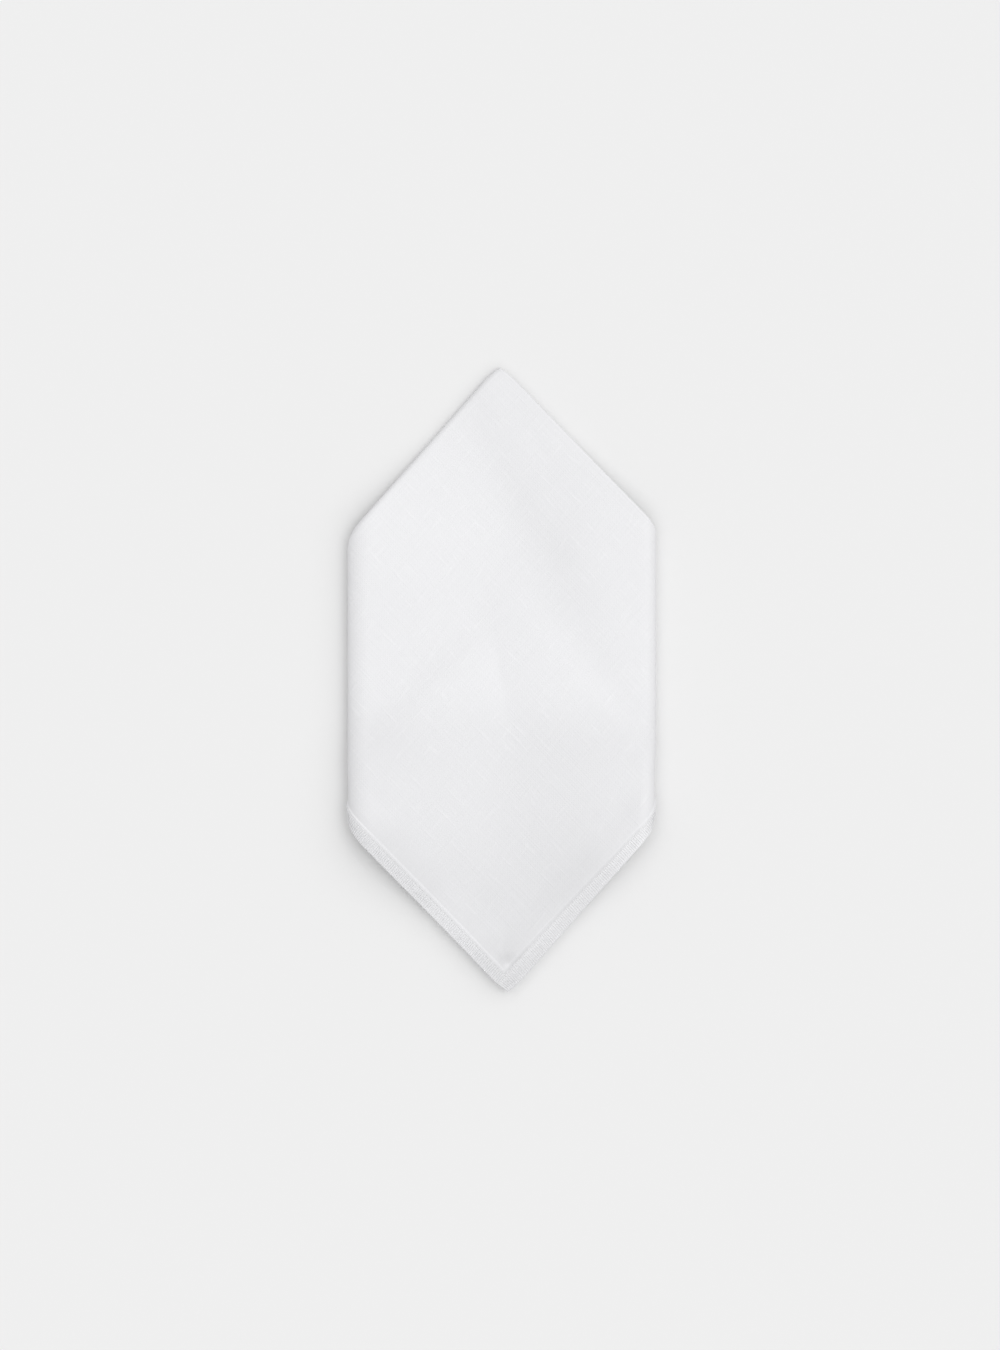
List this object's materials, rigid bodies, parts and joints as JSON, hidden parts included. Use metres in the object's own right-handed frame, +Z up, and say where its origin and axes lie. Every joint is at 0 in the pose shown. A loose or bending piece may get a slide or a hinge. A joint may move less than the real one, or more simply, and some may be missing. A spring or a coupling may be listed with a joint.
{
  "type": "folded handkerchief",
  "caption": "Square linen pocket handkerchief folded to a pointed hexagon, with its side corners turned beneath and hems along the lower edges.",
  "frame": {"origin": "centre of the overall box in plan, on the surface the cloth lies on", "axes": "+Z up from the surface, +Y along the folded cloth towards its unhemmed point, +X to the right as seen from above"},
  "size_m": [0.119, 0.2398, 0.0126],
  "materials": {
    "linen": "plain woven white linen, matt"
  },
  "bodies": {
    "root": {"handkerchief": "linen"}
  },
  "joints": []
}
